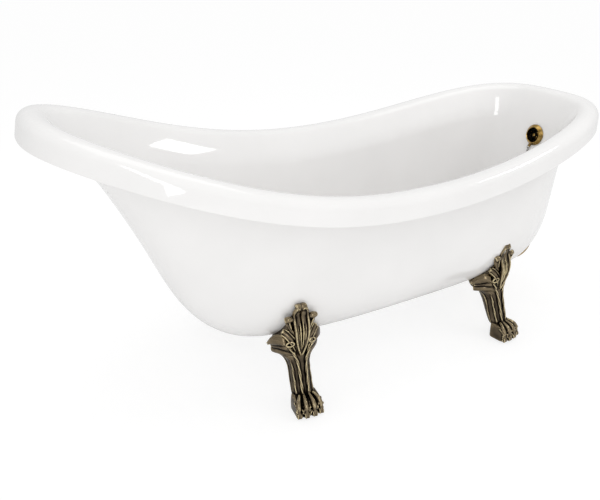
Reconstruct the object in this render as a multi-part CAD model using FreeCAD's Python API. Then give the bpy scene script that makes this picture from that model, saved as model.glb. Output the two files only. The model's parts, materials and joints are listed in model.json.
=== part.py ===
import FreeCAD, Part
import math
import os
from FreeCAD import Vector

# Single slipper bathtub on four claw feet.  Millimetres, +Z up.
# +X is the low foot end with the overflow, -X the high sloping head end.
# The origin is on the floor, under the middle of the tub.

# ---------------------------------------------------------------- rim in plan
rim_length = 1700.0          # outer edge of the rolled rim, at its crown
rim_width = 728.0
rim_middle_x = 6.2           # the head end leans out further than the foot end
widest_x = -28.6             # where the rim is widest
head_fullness = 2.41         # powers of the two half ovals
foot_fullness = 2.79
end_swell = 0.035            # the ends are a little wider than plain ovals
foot_swell = 0.018

# ----------------------------------------------------------- rim from the side
head_height = 840.5          # top of the rim at the head end
low_height = 617.2           # lowest point of the rim
foot_height = 719.8          # top of the rim at the foot end
low_x = 36.0
head_rise = (0.834, 1.071)   # shape of the climb, see rim_height()
foot_rise = (1.581, 0.481)
rim_tilt = 0.76              # share of the climb by which the section leans

# ------------------------------------------------------- section of the shells
shell_wall = 5.5             # acrylic of the basin and its rolled rim
skin_wall = 4.0              # acrylic of the outer skin
lip_depth = 61.6             # the rim hangs this far below its crown
rim_outer_radius = 28.7
rim_crown = 35.0             # from the outer edge to where the basin starts
rim_inner_trim = 19.0        # length of the roll into the basin
basin_edge_drop = 75.0       # where the roll becomes the basin wall
basin_edge_trim = 35.0

side_inset = 89.0            # outer skin under the rim, from the rim's edge
head_inset = 101.0
foot_inset = 66.0
shell_gap = 15.6             # from the outer skin to the basin's surface
foot_shell_gap = 10.5
skin_datum_drop = 56.6       # depth below the crown where the inset is measured

underside_height = 147.9     # outer skin's flat bottom above the floor
bottom_middle_x = 118.4
bottom_length = 1227.6       # corner outline of the bottom
bottom_width = 509.2
bottom_fullness = 3.04
foot_end_swell = 12.0        # the foot end is fuller on the middle line
corner_trim_up = 231.6       # rounding of the bottom corner, up the wall
corner_trim_in = 208.5       # and in along the bottom
foot_corner_trim_in = 140.0
head_flare = 20.0            # the head wall is drawn in by this much
flare_place = 0.3            # share of the wall's height, from the top

board_thickness = 18.0
basin_corner_inset = 26.0    # basin corner from the outer corner
basin_corner_up = 200.0
basin_corner_in = 184.0
basin_foot_corner_in = 112.0
floor_fall = 0.006           # slope of the basin floor to the waste

stations = 48                # places round the tub where the section is drawn

# ------------------------------------------------------------------ the feet
head_foot_x = -290.0         # middle of the paws
foot_foot_x = 452.0
head_foot_y = 277.3
foot_foot_y = 272.5
head_foot_turn = -6.5        # degrees that a paw is turned towards the foot end
foot_foot_turn = 10.5
sole_height = 2.5            # sole above the floor
crest_thickness = 14.0
rib_height = 4.0             # ribs of the leaf stand this much higher
strap_width = 76.0           # steel straps in the cavity, over the feet
strap_thickness = 4.0
strap_top = 332.0
stud_spacing = 56.0          # two studs per foot, along the tub
stud_diameter = 10.0
stud_clearance = 0.6
stud_seat = 0.9              # heads and washers bear on a curve, at their edges
lug_thickness = 10.0
lug_width = 84.0             # lug behind the crest, drilled for the studs
lug_low, lug_high = 176.0, 256.0
foot_room = (110.0, 100.0, 294.6)  # half length, inner and outer reach of a foot's block
leveller_thread = 12.0
leveller_pad_radius = 17.0
leveller_pad_thickness = 6.0
leveller_stud_length = 34.0
running_gap = 0.3

# ----------------------------------------------------------- waste and overflow
waste_x = 565.0
waste_hole = 46.0
waste_tube = 44.0
waste_bore = 38.0
waste_flange = 70.0
waste_flange_thickness = 3.0
overflow_height = 568.5
overflow_hole = 50.0
rosette_diameter = 71.0
rosette_front_diameter = 54.0
rosette_opening = 50.0
rosette_depth = 12.0
overflow_throat = 44.0
overflow_flange = 60.0
pipe_diameter = 38.0
pipe_wall = 2.0
overflow_run_height = 112.0
pipe_bend = 48.0
tail_height = 74.0           # open end of the tail pipe
plug_diameter = 40.0

# --------------------------------------------------------------------- chain
chain_wire = 1.7
chain_link_length = 8.6      # inside length of a link, the pitch
chain_link_width = 4.4       # inside width
chain_links = 46             # even: its end links hook rings that stand crosswise


def sign(value):
    return 1.0 if value >= 0 else -1.0


def limit(value, low, high):
    return max(low, min(high, value))


# ------------------------------------------------------------------- the rim
def rim_height(x):
    """Height of the rim's crown: flat at its lowest point, climbing to both ends."""
    if x < low_x:
        share = (low_x - x) / (low_x - rim_middle_x + rim_length / 2)
        rise, (a, b) = head_height - low_height, head_rise
    else:
        share = (x - low_x) / (rim_middle_x + rim_length / 2 - low_x)
        rise, (a, b) = foot_height - low_height, foot_rise
    return low_height + rise * share**2 * (a + b * share + (1 - a - b) * share**2)


def rim_outline(angle):
    """Outer edge of the rim in plan: two half ovals that meet at the widest place."""
    c, s = math.cos(angle), math.sin(angle)
    if c < 0:
        power, reach = head_fullness, rim_length / 2 + widest_x - rim_middle_x
    else:
        power, reach = foot_fullness, rim_length / 2 - widest_x + rim_middle_x
    radius = (abs(c)**power + abs(s)**power) ** (-1 / power)
    share = abs(c * radius)
    swell = 1 + end_swell * share**power + foot_swell * sign(c) * share**(1.5 * power)
    return widest_x + reach * c * radius, rim_width / 2 * s * radius * swell


def rim_frame(angle):
    """Point on the rim's outer edge with its outward, upward and lengthwise directions."""
    step = 0.002
    x, y = rim_outline(angle)
    ahead, behind = rim_outline(angle + step), rim_outline(angle - step)
    along = Vector(ahead[0] - behind[0], ahead[1] - behind[1], 0).normalize()
    slope = rim_tilt * (rim_height(x + 1) - rim_height(x - 1)) / 2
    lean = math.hypot(1, slope)
    upward = Vector(-slope / lean, 0, 1 / lean)
    outward = Vector(along.y / lean, -along.x, along.y * slope / lean)
    return Vector(x, y, rim_height(x)), outward, upward, along


def bottom_corner(angle, inset=0.0):
    """Corner outline between the walls and the flat bottom, in plan."""
    c, s = math.cos(angle), math.sin(angle)
    radius = (abs(c)**bottom_fullness + abs(s)**bottom_fullness) ** (-1 / bottom_fullness)
    swell = foot_end_swell * max(0.0, c)**8
    x = bottom_middle_x + (bottom_length / 2 - inset + swell) * c * radius
    return Vector(x, (bottom_width / 2 - inset) * s * radius, 0)


def bottom_centre(corner):
    """Point on the middle line towards which the bottom runs from a corner."""
    reach = (bottom_length - bottom_width) / 2
    return Vector(limit(corner.x, bottom_middle_x - reach, bottom_middle_x + reach), 0, 0)


def end_blend(angle, side, head, foot):
    c = math.cos(angle)
    return side + (foot - side) * max(0.0, c)**6 + (head - side) * max(0.0, -c)**6


def flare(angle):
    """How far the wall is drawn in: full at the head end, nothing at the foot end."""
    share = limit(0.5 - math.cos(angle), 0, 1)
    return head_flare * share**2 * (3 - 2 * share)


def floor_height(x):
    """Basin floor: a plane that falls gently towards the foot end."""
    lowest = underside_height + skin_wall + board_thickness + shell_wall
    return lowest + floor_fall * (bottom_middle_x + bottom_length / 2 - x)


# -------------------------------------------------------- sections of the shells
def round_corners(corners, trims, along):
    """Control points of a section whose corners are rounded, each with its offset direction."""
    runs = [(b - a).normalize() for a, b in zip(corners, corners[1:])]
    normals = [along.cross(run).normalize() for run in runs[:-1]] + [Vector(0, 0, 1)]
    points = [(corners[0], normals[0])]
    for index, (before, after) in enumerate(trims):
        corner = corners[index + 1]
        one, two = normals[index], normals[index + 1]
        middle = (one + two) * (1 / (1 + one.dot(two)))
        points.append((corner - runs[index] * before, one))
        points.append((corner, middle))
        points.append((corner + runs[index + 1] * after, two))
    return points


def wall_and_floor(top, corner, angle, trim_up, trim_in, along):
    """The drawn-in wall point, the bottom corner and their roundings."""
    wall = corner - top
    inward = Vector(-along.y, along.x, 0)
    bend = top + wall * flare_place + inward * flare(angle)
    up = min(trim_up, 0.6 * wall.Length)
    free = (corner - bend).Length - up
    return bend, (0.8 * (bend - top).Length, 0.8 * free), (up, trim_in)


def skin_section(angle):
    """Outer skin, from its upper edge under the rim to the flat bottom."""
    point, outward, upward, along = rim_frame(angle)
    inset = end_blend(angle, side_inset, head_inset, foot_inset)
    datum = point - outward * inset - upward * skin_datum_drop
    corner = bottom_corner(angle)
    centre = bottom_centre(corner)
    corner.z = centre.z = underside_height
    start = datum + (datum - corner).normalize() * 3.0
    trim_in = end_blend(angle, corner_trim_in, corner_trim_in, foot_corner_trim_in)
    bend, bend_trim, corner_trim = wall_and_floor(
        start, corner, angle, corner_trim_up, trim_in, along)
    return round_corners([start, bend, corner, centre], [bend_trim, corner_trim], along)


def basin_section(angle):
    """Basin and rim, from the bottom of the lip over the crown down to the floor."""
    point, outward, upward, along = rim_frame(angle)

    def place(inward, down):
        return point - outward * inward - upward * down

    inset = end_blend(angle, side_inset + shell_gap, head_inset + shell_gap,
                      foot_inset + foot_shell_gap)
    edge = place(inset, basin_edge_drop)
    corner = bottom_corner(angle, basin_corner_inset)
    centre = bottom_centre(corner)
    corner.z, centre.z = floor_height(corner.x), floor_height(centre.x)
    trim_in = end_blend(angle, basin_corner_in, basin_corner_in, basin_foot_corner_in)
    bend, bend_trim, corner_trim = wall_and_floor(
        edge, corner, angle, basin_corner_up, trim_in, along)
    edge_trim = (basin_edge_trim, 0.19 * (bend - edge).Length)
    corners = [place(0, lip_depth), place(0, 0), place(rim_crown + rim_inner_trim, 0),
               edge, bend, corner, centre]
    trims = [(rim_outer_radius, rim_outer_radius), (rim_inner_trim, rim_inner_trim),
             edge_trim, bend_trim, corner_trim]
    return round_corners(corners, trims, along)


# ---------------------------------------------------------------- ring surfaces
def ring_poles(points):
    """Poles of the closed smooth curve that passes through evenly numbered points."""
    count = len(points)
    poles = list(points)
    for _ in range(60):
        poles = [(points[i] * 6 - poles[i - 1] - poles[(i + 1) % count]) * 0.25
                 for i in range(count)]
    return poles


def ring_face(rings, corner_weight=1.0):
    """Face between rings: two make a straight strip, three a rounded one."""
    count, degree = len(rings[0]), len(rings) - 1
    weights = [1.0] * len(rings)
    if degree == 2:
        weights[1] = corner_weight
    surface = Part.BSplineSurface()
    surface.buildFromPolesMultsKnots(
        [[ring[i] for ring in rings] for i in range(count)],
        [1] * (count + 1), [degree + 1] * 2, list(range(count + 1)), [0, 1],
        True, False, 3, degree, [weights] * count)
    return surface.toShape()


def ring_cap(ring):
    count = len(ring)
    curve = Part.BSplineCurve()
    curve.buildFromPolesMultsKnots(ring, [1] * (count + 1), list(range(count + 1)), True, 3)
    return Part.Face(Part.Wire(curve.toShape()))


def closed_solid(faces):
    shell = Part.makeShell(faces)
    shell.sewShape()
    solid = Part.makeSolid(shell.Shells[0])
    if solid.Volume < 0:
        solid.reverse()
    return solid


def offset_rings(sections, distance):
    """Rings of control points, moved off the drawn surface by a distance."""
    count = len(sections[0])
    return [ring_poles([section[k][0] + section[k][1] * distance for section in sections])
            for k in range(count)]


def chain_faces(rings, weights):
    """Strips and rounded corners down a list of rings: point, then three per corner."""
    faces = []
    for index, weight in enumerate(weights):
        first = 3 * index
        faces.append(ring_face(rings[first:first + 2]))
        faces.append(ring_face(rings[first + 1:first + 4], weight))
    return faces


angles = [2 * math.pi * i / stations for i in range(stations)]
basin_sections = [basin_section(angle) for angle in angles]
skin_sections = [skin_section(angle) for angle in angles]


def walled_solid(sections, thickness, weights):
    front = offset_rings(sections, 0)
    back = offset_rings(sections, thickness)
    faces = chain_faces(front, weights) + chain_faces(back, weights)
    faces.append(ring_face([front[0], back[0]]))
    faces += [ring_cap(front[-1]), ring_cap(back[-1])]
    return closed_solid(faces)


hull_top = 385.0             # the feet and straps all lie below this height


def hull_solid(distance):
    """Everything inside the outer skin's lower part, moved in by a distance."""
    rings = offset_rings(skin_sections, distance)
    top = []
    for section in skin_sections:
        (low, low_normal), (high, high_normal) = section[4], section[3]
        low, high = low + low_normal * distance, high + high_normal * distance
        top.append(low + (high - low) * ((hull_top - low.z) / (high.z - low.z)))
    upper = ring_poles(top)
    faces = [ring_cap(upper), ring_face([upper, rings[4]]), ring_face(rings[4:7]),
             ring_cap(rings[6])]
    return closed_solid(faces)


basin_weights = (math.sqrt(0.5), 0.88, 1.0, 1.0, 1.0)
waste_floor = floor_height(waste_x)


def section_point(section, height):
    """Wall point of a section at a height, with the wall's direction away from the basin."""
    controls = [point for point, _ in section]
    line = [controls[0]]
    for first in range(1, len(controls) - 2, 3):
        a, b, c = controls[first:first + 3]
        for step in range(13):
            t = step / 12
            line.append(a * (1 - t)**2 + b * (2 * t * (1 - t)) + c * t**2)
    for upper, lower in reversed(list(zip(line, line[1:]))):
        if upper.z >= height >= lower.z:
            run = (upper - lower).normalize()
            point = lower + (upper - lower) * ((height - lower.z) / (upper.z - lower.z))
            return point, Vector(run.z, 0, -run.x)


overflow_point, overflow_out = section_point(basin_sections[0], overflow_height)
overflow_in = overflow_out * -1
hull_face, _ = section_point(skin_sections[0], overflow_height)
overflow_wall = (hull_face - overflow_point).dot(overflow_out)
overflow_turn = FreeCAD.Rotation(Vector(0, 0, 1), overflow_in)


def at_overflow(shape):
    """Places a shape drawn on the Z axis on the overflow: +Z points into the basin."""
    shape = shape.copy()
    shape.Placement = FreeCAD.Placement(overflow_point, overflow_turn)
    return shape


def disc(radius, bottom, top, x=0.0, y=0.0):
    return Part.makeCylinder(radius, top - bottom, Vector(x, y, bottom))


def washer(outer, inner, bottom, top, x=0.0, y=0.0):
    return disc(outer, bottom, top, x, y).cut(disc(inner, bottom - 1, top + 1, x, y))


def revolved(outline):
    """Solid turned round the Z axis from radius and height points."""
    points = [Vector(radius, 0, height) for radius, height in outline]
    face = Part.Face(Part.makePolygon(points + points[:1]))
    return face.revolve(Vector(0, 0, 0), Vector(0, 0, 1), 360)


def hexagon(flats, bottom, top):
    corners = [Vector(flats / math.sqrt(3) * math.cos(math.pi / 3 * k),
                      flats / math.sqrt(3) * math.sin(math.pi / 3 * k), bottom)
               for k in range(7)]
    return Part.Face(Part.makePolygon(corners)).extrude(Vector(0, 0, top - bottom))


def aimed(shape, point, direction):
    shape = shape.copy()
    shape.Placement = FreeCAD.Placement(point, FreeCAD.Rotation(Vector(0, 0, 1), direction))
    return shape


def swept(edges, radius):
    """Round bar along a path of straight and curved edges."""
    start = edges[0].valueAt(edges[0].FirstParameter)
    run = edges[0].tangentAt(edges[0].FirstParameter)
    ring = Part.Wire(Part.makeCircle(radius, start, run))
    return Part.Wire(edges).makePipeShell([ring], True, False)


# ------------------------------------------------------------------- the shells
overflow_bore = disc(overflow_hole / 2, -60, 30)
waste_bore_through = disc(waste_hole / 2, underside_height - 10, waste_floor + 10, waste_x)


def make_inner_shell():
    shell = walled_solid(basin_sections, -shell_wall, basin_weights)
    return shell.cut(at_overflow(overflow_bore)).cut(waste_bore_through)


def make_outer_shell(inner):
    """Outer skin; its upper edge ends where it meets the back of the rolled rim."""
    skin = walled_solid(skin_sections, skin_wall, (1.0, 1.0))
    pieces = skin.cut(inner).cut(at_overflow(overflow_bore)).cut(waste_bore_through)
    return max(pieces.Solids, key=lambda piece: piece.Volume)


def make_base_board():
    """Wedge of board between the flat bottom and the falling basin floor."""
    start = head_foot_x + strap_width / 2 + 2 * running_gap
    end = waste_x - waste_flange / 2
    half = bottom_width / 2 - corner_trim_in - 22
    low = underside_height + skin_wall
    outline = [(start, low), (end, low), (end, floor_height(end) - shell_wall),
               (start, floor_height(start) - shell_wall)]
    points = [Vector(x, -half, z) for x, z in outline]
    board = Part.Face(Part.makePolygon(points + points[:1])).extrude(Vector(0, 2 * half, 0))
    for strap in straps:
        board = board.cut(strap)
    return board


def make_strap(x):
    """Steel strap that lines the cavity from one foot to the other."""
    slab = Part.makeBox(strap_width, bottom_width * 2, strap_top,
                        Vector(x - strap_width / 2, -bottom_width, 0))
    outer = hull_solid(skin_wall).common(slab)
    return outer.cut(hull_solid(skin_wall + strap_thickness).common(slab))


# --------------------------------------------------------------------- the feet
def hull_point(x, share):
    """Point on the rounded bottom corner of the near side, and the way out of the tub."""
    def at(angle, t):
        a, b, c = [point for point, _ in skin_section(angle)[4:7]]
        return a * (1 - t)**2 + b * (2 * t * (1 - t)) + c * t**2

    low, high = math.pi, 2 * math.pi
    for _ in range(30):
        angle = (low + high) / 2
        if at(angle, share).x < x:
            low = angle
        else:
            high = angle
    step = 0.01
    down = at(angle, share + step) - at(angle, share - step)
    along = at(angle + step, share) - at(angle - step, share)
    return at(angle, share), down.cross(along).normalize()


def hull_at_height(x, height):
    low, high = 0.0, 1.0
    for _ in range(20):
        share = (low + high) / 2
        if hull_point(x, share)[0].z > height:
            low = share
        else:
            high = share
    return hull_point(x, share)


def oval(height, half_width, front, back, ripple=0.0, power=2.6):
    """Level closed curve, rounder than a box; its front can be rippled into ridges."""
    middle, half_depth = (front + back) / 2, (back - front) / 2
    places = [math.pi * k / 10 for k in range(11)]
    places += [math.pi + math.pi * k / 30 for k in range(1, 30)]
    points = []
    for place in places:
        c, s = math.cos(place), math.sin(place)
        radius = (abs(c)**power + abs(s)**power) ** (-1 / power)
        x, y = c * radius, middle + half_depth * s * radius
        if s < 0 and abs(x) < ridge_span:
            y += ripple * math.cos(2 * math.pi * x / ridge_span * ridge_count / 2)
        points.append(Vector(half_width * x, y, height))
    curve = Part.BSplineCurve()
    curve.interpolate(Points=points, PeriodicFlag=True)
    return Part.Wire(curve.toShape())


# height, half width, front and back of the leg, and its ridges: it leans in to the saddle
leg_sections = ((46, 30, -12, 36, 0), (80, 29, 6, 58, 2.0), (125, 28, 22, 86, 2.2),
                (165, 32, 32, 100, 2.2), (200, 34, 33, 104, 1.0), (235, 34, 32, 100, 0),
                (262, 30, 31, 95, 0), (285, 22, 30, 90, 0))
# the casting is open at its back
hollow_sections = ((62, 14, 12, 62, 0), (100, 14, 25, 80, 0), (165, 18, 46, 115, 0),
                   (205, 22, 48, 135, 0), (245, 22, 47, 140, 0))
paw_sections = ((sole_height, 37, -30, 26), (14, 39, -34, 27), (30, 37, -28, 30),
                (50, 31, -12, 36))
toe_places = ((-31.0, -30.0), (-11.0, -34.5), (11.0, -34.5), (31.0, -30.0))
toe_radius = 10.5
knuckle_radius = 13.0
ridge_span = 0.85            # share of the leg's half width that carries the ridges
ridge_count = 4

# leaf lobes of the crest: middle, height, half length, half width, angle
crest_lobes = ((0, 256, 72, 25, 90), (9, 312, 18, 12, 66), (-9, 312, 18, 12, 114),
               (27, 248, 42, 16, 64), (-27, 248, 42, 16, 116),
               (46, 206, 35, 17, -5), (-46, 206, 35, 17, -175))
crest_ribs = ((0, 256, 66, 5, 90), (12, 258, 56, 4, 84), (-12, 258, 56, 4, 96),
              (28, 250, 38, 5, 64), (-28, 250, 38, 5, 116),
              (48, 206, 30, 5, -5), (-48, 206, 30, 5, -175))
curl_places = ((9, 318, 9.0), (-9, 318, 9.0), (36, 284, 8.5), (-36, 284, 8.5),
               (76, 203, 7.5), (-76, 203, 7.5))


def lobe(x, z, half_long, half_short, angle):
    """Pointed-looking leaf blank, a long ellipse seen from the front, cut right through."""
    curve = Part.Ellipse(Vector(0, 0, 0), half_long, half_short)
    blank = Part.Face(Part.Wire(curve.toShape())).extrude(Vector(0, 0, 260))
    blank.rotate(Vector(0, 0, 0), Vector(0, 0, 1), angle)
    blank.rotate(Vector(0, 0, 0), Vector(1, 0, 0), 90)
    blank.translate(Vector(x, 170, z))
    return blank


def make_near_foot(foot_x, foot_y, turn):
    """One cast foot: paw with four toes, ribbed leg, saddle and leaf crest on the tub."""
    def place(shape):
        shape.rotate(Vector(0, 0, 0), Vector(0, 0, 1), turn)
        shape.translate(Vector(foot_x, -foot_y, 0))
        return shape

    half, inner, outer = foot_room
    room = Part.makeBox(2 * half, outer - inner, hull_top, Vector(foot_x - half, -outer, 0))
    hull = hull_solid(0).common(room)
    crest_layer, rib_layer, lug_layer = [
        hull_solid(-depth).common(room)
        for depth in (crest_thickness, crest_thickness + rib_height, lug_thickness)]
    leg = Part.makeLoft([oval(*section) for section in leg_sections], True)
    paw = Part.makeLoft([oval(*section) for section in paw_sections], True)
    pieces = []
    for x, y in toe_places:
        pieces.append(Part.makeSphere(knuckle_radius, Vector(x * 0.95, y + 8, 19)))
        pieces.append(Part.makeSphere(toe_radius, Vector(x, y, toe_radius + 1)))
    hollow = Part.makeLoft([oval(*section) for section in hollow_sections], True)
    foot = place(leg.cut(hollow).fuse([paw] + pieces))
    leaf = place(lobe(*crest_lobes[0]).fuse([lobe(*item) for item in crest_lobes[1:]]))
    ribs = place(lobe(*crest_ribs[0]).fuse([lobe(*item) for item in crest_ribs[1:]]))
    curls = []
    for x, z, radius in curl_places:
        face, out = hull_at_height(foot_x + x, z)
        curls.append(Part.makeSphere(radius, face + out * (crest_thickness - radius * 0.3)))
    lug = place(Part.makeBox(lug_width, outer - inner, lug_high - lug_low,
                             Vector(-lug_width / 2, 0, lug_low)))
    foot = foot.fuse([crest_layer.common(leaf), rib_layer.common(ribs),
                      lug_layer.common(lug)] + curls)
    foot = foot.cut(hull)
    foot = foot.cut(Part.makeBox(400, 400, 40, Vector(foot_x - 200, -foot_y - 200,
                                                      sole_height - 40)))
    pocket = leveller_pad_radius + running_gap
    foot = foot.cut(disc(pocket, -1, leveller_pad_thickness + running_gap, foot_x, -foot_y))
    foot = foot.cut(disc(leveller_thread / 2 + running_gap, -1, leveller_stud_length + 3,
                         foot_x, -foot_y))
    seat = lug_thickness + stud_seat
    hole = disc((stud_diameter + stud_clearance) / 2, -20, 40).fuse(
        disc(stud_pocket, seat - 0.2, seat + stud_pocket_depth))
    for point, out in stud_places(foot_x):
        foot = foot.cut(aimed(hole, point, out))
    return max(foot.removeSplitter().Solids, key=lambda piece: piece.Volume)


stud_flats = 16.0
stud_head = 6.4
nut_thickness = 8.0
washer_thickness = 2.0
stud_pocket = 11.2           # radius of the room that the casting leaves for washer and nut
stud_pocket_depth = 18.0


def stud_places(foot_x):
    return [hull_point(foot_x + side * stud_spacing / 2, 0.5) for side in (-1, 1)]


def make_stud(point, out):
    """Bolt from the strap out through skin and lug: its head lies in the cavity."""
    seat = -skin_wall - strap_thickness - stud_seat
    head = hexagon(stud_flats, seat - stud_head, seat)
    shank = disc(stud_diameter / 2, seat - 3, lug_thickness + stud_seat + washer_thickness
                 + nut_thickness + 4)
    return aimed(head.fuse(shank), point, out)


def make_foot_washer(point, out):
    low = lug_thickness + stud_seat
    ring = washer(stud_diameter, (stud_diameter + stud_clearance) / 2, low,
                  low + washer_thickness)
    return aimed(ring, point, out)


def make_foot_nut(point, out):
    low = lug_thickness + stud_seat + washer_thickness
    nut = hexagon(stud_flats, low, low + nut_thickness)
    nut = nut.cut(disc(stud_diameter / 2, low - 1, low + nut_thickness + 1))
    return aimed(nut, point, out)


def make_leveller(x, y):
    """Screw foot under the paw: round pad and threaded stud."""
    pad = disc(leveller_pad_radius, 0, leveller_pad_thickness, x, y)
    stud = disc(leveller_thread / 2, 1, leveller_stud_length, x, y)
    return pad.fuse(stud).removeSplitter()


def mirrored(shape):
    return shape.mirror(Vector(0, 0, 0), Vector(0, 1, 0))


# --------------------------------------------------------------------- overflow
rosette_seat = 2.0           # thickness of the soft ring behind the rosette
eye_angle = 13.5             # the chain eye hangs this far off the lowest point
eye_radius = 39.5            # its middle from the rosette's middle
eye_lug = 5.5
eye_low, eye_high = 1.0, 3.0 # the eye's plate above the rosette's back
eye_hole = 2.1
split_ring_radius = 6.0
split_ring_wire = 0.9
screw_dome, screw_head = 6.0, 5.0      # radii of the screw's dome and of its edge
screw_sink = 2.0             # the dome's middle lies this far under its seat
screw_slot = 1.6
screw_shank = 3.0


def make_rosette():
    outer, front = rosette_diameter / 2, rosette_front_diameter / 2
    opening, depth = rosette_opening / 2, rosette_depth + rosette_seat
    body = revolved([(overflow_throat / 2 + 0.5, rosette_seat), (outer, rosette_seat),
                     (outer, rosette_seat + 2.5), (front + 0.8, depth - 1.2),
                     (front - 0.6, depth), (opening + 1.2, depth), (opening, depth - 1.2),
                     (opening, rosette_seat + 1.5), (overflow_throat / 2 + 0.5,
                                                     rosette_seat + 1.5)])
    lug = disc(eye_lug, rosette_seat + eye_low, rosette_seat + eye_high)
    lug.translate(eye_offset())
    hole = disc(eye_hole, 0, rosette_seat + 6)
    hole.translate(eye_offset())
    return at_overflow(body.fuse(lug).cut(hole).removeSplitter())


def eye_offset():
    """Place of the chain eye in the rosette's own plane, below its middle."""
    lean = math.radians(eye_angle)
    down = overflow_turn.inverted().multVec(Vector(0, 0, -1))
    side = overflow_turn.inverted().multVec(Vector(0, 1, 0))
    flat = Vector(down.x, down.y, 0).normalize()
    across = Vector(side.x, side.y, 0).normalize()
    return (flat * math.cos(lean) + across * math.sin(lean)) * eye_radius


def make_grille():
    low = rosette_seat + 1.5
    plate = disc(rosette_opening / 2 - 0.3, low, low + 1.6).cut(disc(3.4, low - 1, low + 3))
    for k in range(6):
        angle = math.pi / 3 * k
        plate = plate.cut(disc(5.0, low - 1, low + 3, 15 * math.cos(angle),
                               15 * math.sin(angle)))
    return at_overflow(plate)


def make_overflow_screw():
    """Domed screw that draws the rosette and the elbow together through the walls."""
    low = rosette_seat + 1.5 + 1.6
    dome = Part.makeSphere(screw_dome, Vector(0, 0, low - screw_sink)).common(
        disc(screw_head, low, low + screw_dome))
    slot = Part.makeBox(2 * screw_dome, screw_slot, 3, Vector(-screw_dome, -screw_slot / 2,
                                                              low + 3.0))
    shank = disc(screw_shank, -overflow_wall - 6, low + 1)
    return at_overflow(dome.cut(slot).fuse(shank).removeSplitter())


def make_inner_gasket():
    ring = washer(rosette_diameter / 2 - 1.5, overflow_hole / 2, -4, rosette_seat)
    return max(at_overflow(ring).cut(inner_shell).Solids, key=lambda piece: piece.Volume)


elbow_seat = -overflow_wall - 4.0      # the elbow's flange stands off the skin
elbow_bend = 30.0
elbow_flange_thickness = 5.0


def make_outer_gasket():
    ring = washer(overflow_flange / 2 - 1, overflow_hole / 2, elbow_seat, -overflow_wall + 6)
    return max(at_overflow(ring).cut(outer_shell).Solids, key=lambda piece: piece.Volume)


def elbow_path():
    """Out of the wall, then round to straight down."""
    start = overflow_point + overflow_out * 1.0
    corner = overflow_point + overflow_out * (-elbow_seat + elbow_flange_thickness + 2)
    under = Vector(overflow_out.z, 0, -overflow_out.x)
    centre = corner + under * elbow_bend
    end = centre + Vector(elbow_bend, 0, 0)
    middle = centre + ((corner - centre) + (end - centre)).normalize() * elbow_bend
    return start, corner, middle, end


def make_elbow():
    start, corner, middle, end = elbow_path()
    tail = end + Vector(0, 0, -20)
    edges = [Part.LineSegment(start, corner).toShape(), Part.Arc(corner, middle, end).toShape(),
             Part.LineSegment(end, tail).toShape()]
    flange = at_overflow(disc(overflow_flange / 2, elbow_seat - elbow_flange_thickness,
                              elbow_seat))
    body = swept(edges, overflow_throat / 2).fuse(flange)
    body = body.cut(swept(edges, pipe_diameter / 2 - 2))
    body = body.cut(disc(pipe_diameter / 2 + 0.2, end.z - 25, end.z - 8, end.x))
    bar = at_overflow(Part.makeBox(overflow_throat - 5, 9, 5, Vector(
        -overflow_throat / 2 + 2.5, -4.5, -overflow_wall - 5)))
    return body.fuse(bar).cut(at_overflow(disc(screw_shank + 0.1, -60, 20))).removeSplitter()


def pipe_path():
    _, _, _, end = elbow_path()
    top, low = Vector(end.x, 0, end.z - 9), overflow_run_height
    turn = Vector(end.x, 0, low + pipe_bend)
    centre = Vector(end.x - pipe_bend, 0, low + pipe_bend)
    middle = centre + Vector(1, 0, -1).normalize() * pipe_bend
    after = Vector(end.x - pipe_bend, 0, low)
    finish = Vector(waste_x + tee_reach - 16, 0, low)
    return [Part.LineSegment(top, turn).toShape(), Part.Arc(turn, middle, after).toShape(),
            Part.LineSegment(after, finish).toShape()]


def make_overflow_pipe():
    edges = pipe_path()
    return swept(edges, pipe_diameter / 2).cut(swept(edges, pipe_diameter / 2 - pipe_wall))


def make_slip_nut(point, direction):
    nut = hexagon(pipe_diameter + 12, 0, 9).fuse(disc(pipe_diameter / 2 + 4.5, 9, 15))
    return aimed(nut.cut(disc(pipe_diameter / 2 + 0.2, -1, 20)), point, direction)


# ------------------------------------------------------------------------ waste
gasket_thickness = 3.0
locknut_thickness = 9.0
tee_reach = 46.0
tee_top = underside_height - gasket_thickness - locknut_thickness - 0.5
tee_bottom = tail_height + 14.0
tail_socket = 6.0
tail_step = 1.0              # the tail pipe's end in the tee is this much slimmer


def make_waste_flange():
    """Flange on the basin floor, its threaded tube, and a cross that stops objects."""
    top = waste_floor + waste_flange_thickness
    body = disc(waste_flange / 2, waste_floor - 1, top, waste_x)
    body = body.cut(inner_shell)
    body = body.fuse(disc(waste_tube / 2, tee_top - 8, top - 1, waste_x))
    body = body.cut(disc(waste_bore / 2, tee_top - 20, top + 1, waste_x))
    seat = Part.makeCone(waste_bore / 2, plug_diameter / 2 + 1.5, 4, Vector(waste_x, 0, top - 4))
    body = body.cut(seat)
    level = waste_floor - 24
    for across, deep in ((waste_bore + 2, 3), (3, waste_bore + 2)):
        body = body.fuse(Part.makeBox(across, deep, 3, Vector(waste_x - across / 2, -deep / 2,
                                                              level)))
    return max(body.removeSplitter().Solids, key=lambda piece: piece.Volume)


def make_waste_gasket():
    return washer(waste_flange / 2 - 3, waste_tube / 2 + 0.3,
                  underside_height - gasket_thickness, underside_height, waste_x)


def make_waste_locknut():
    high = underside_height - gasket_thickness
    nut = hexagon(waste_tube + 16, high - locknut_thickness, high)
    nut.translate(Vector(waste_x, 0, 0))
    return nut.cut(disc(waste_tube / 2, high - 20, high + 1, waste_x))


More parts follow.
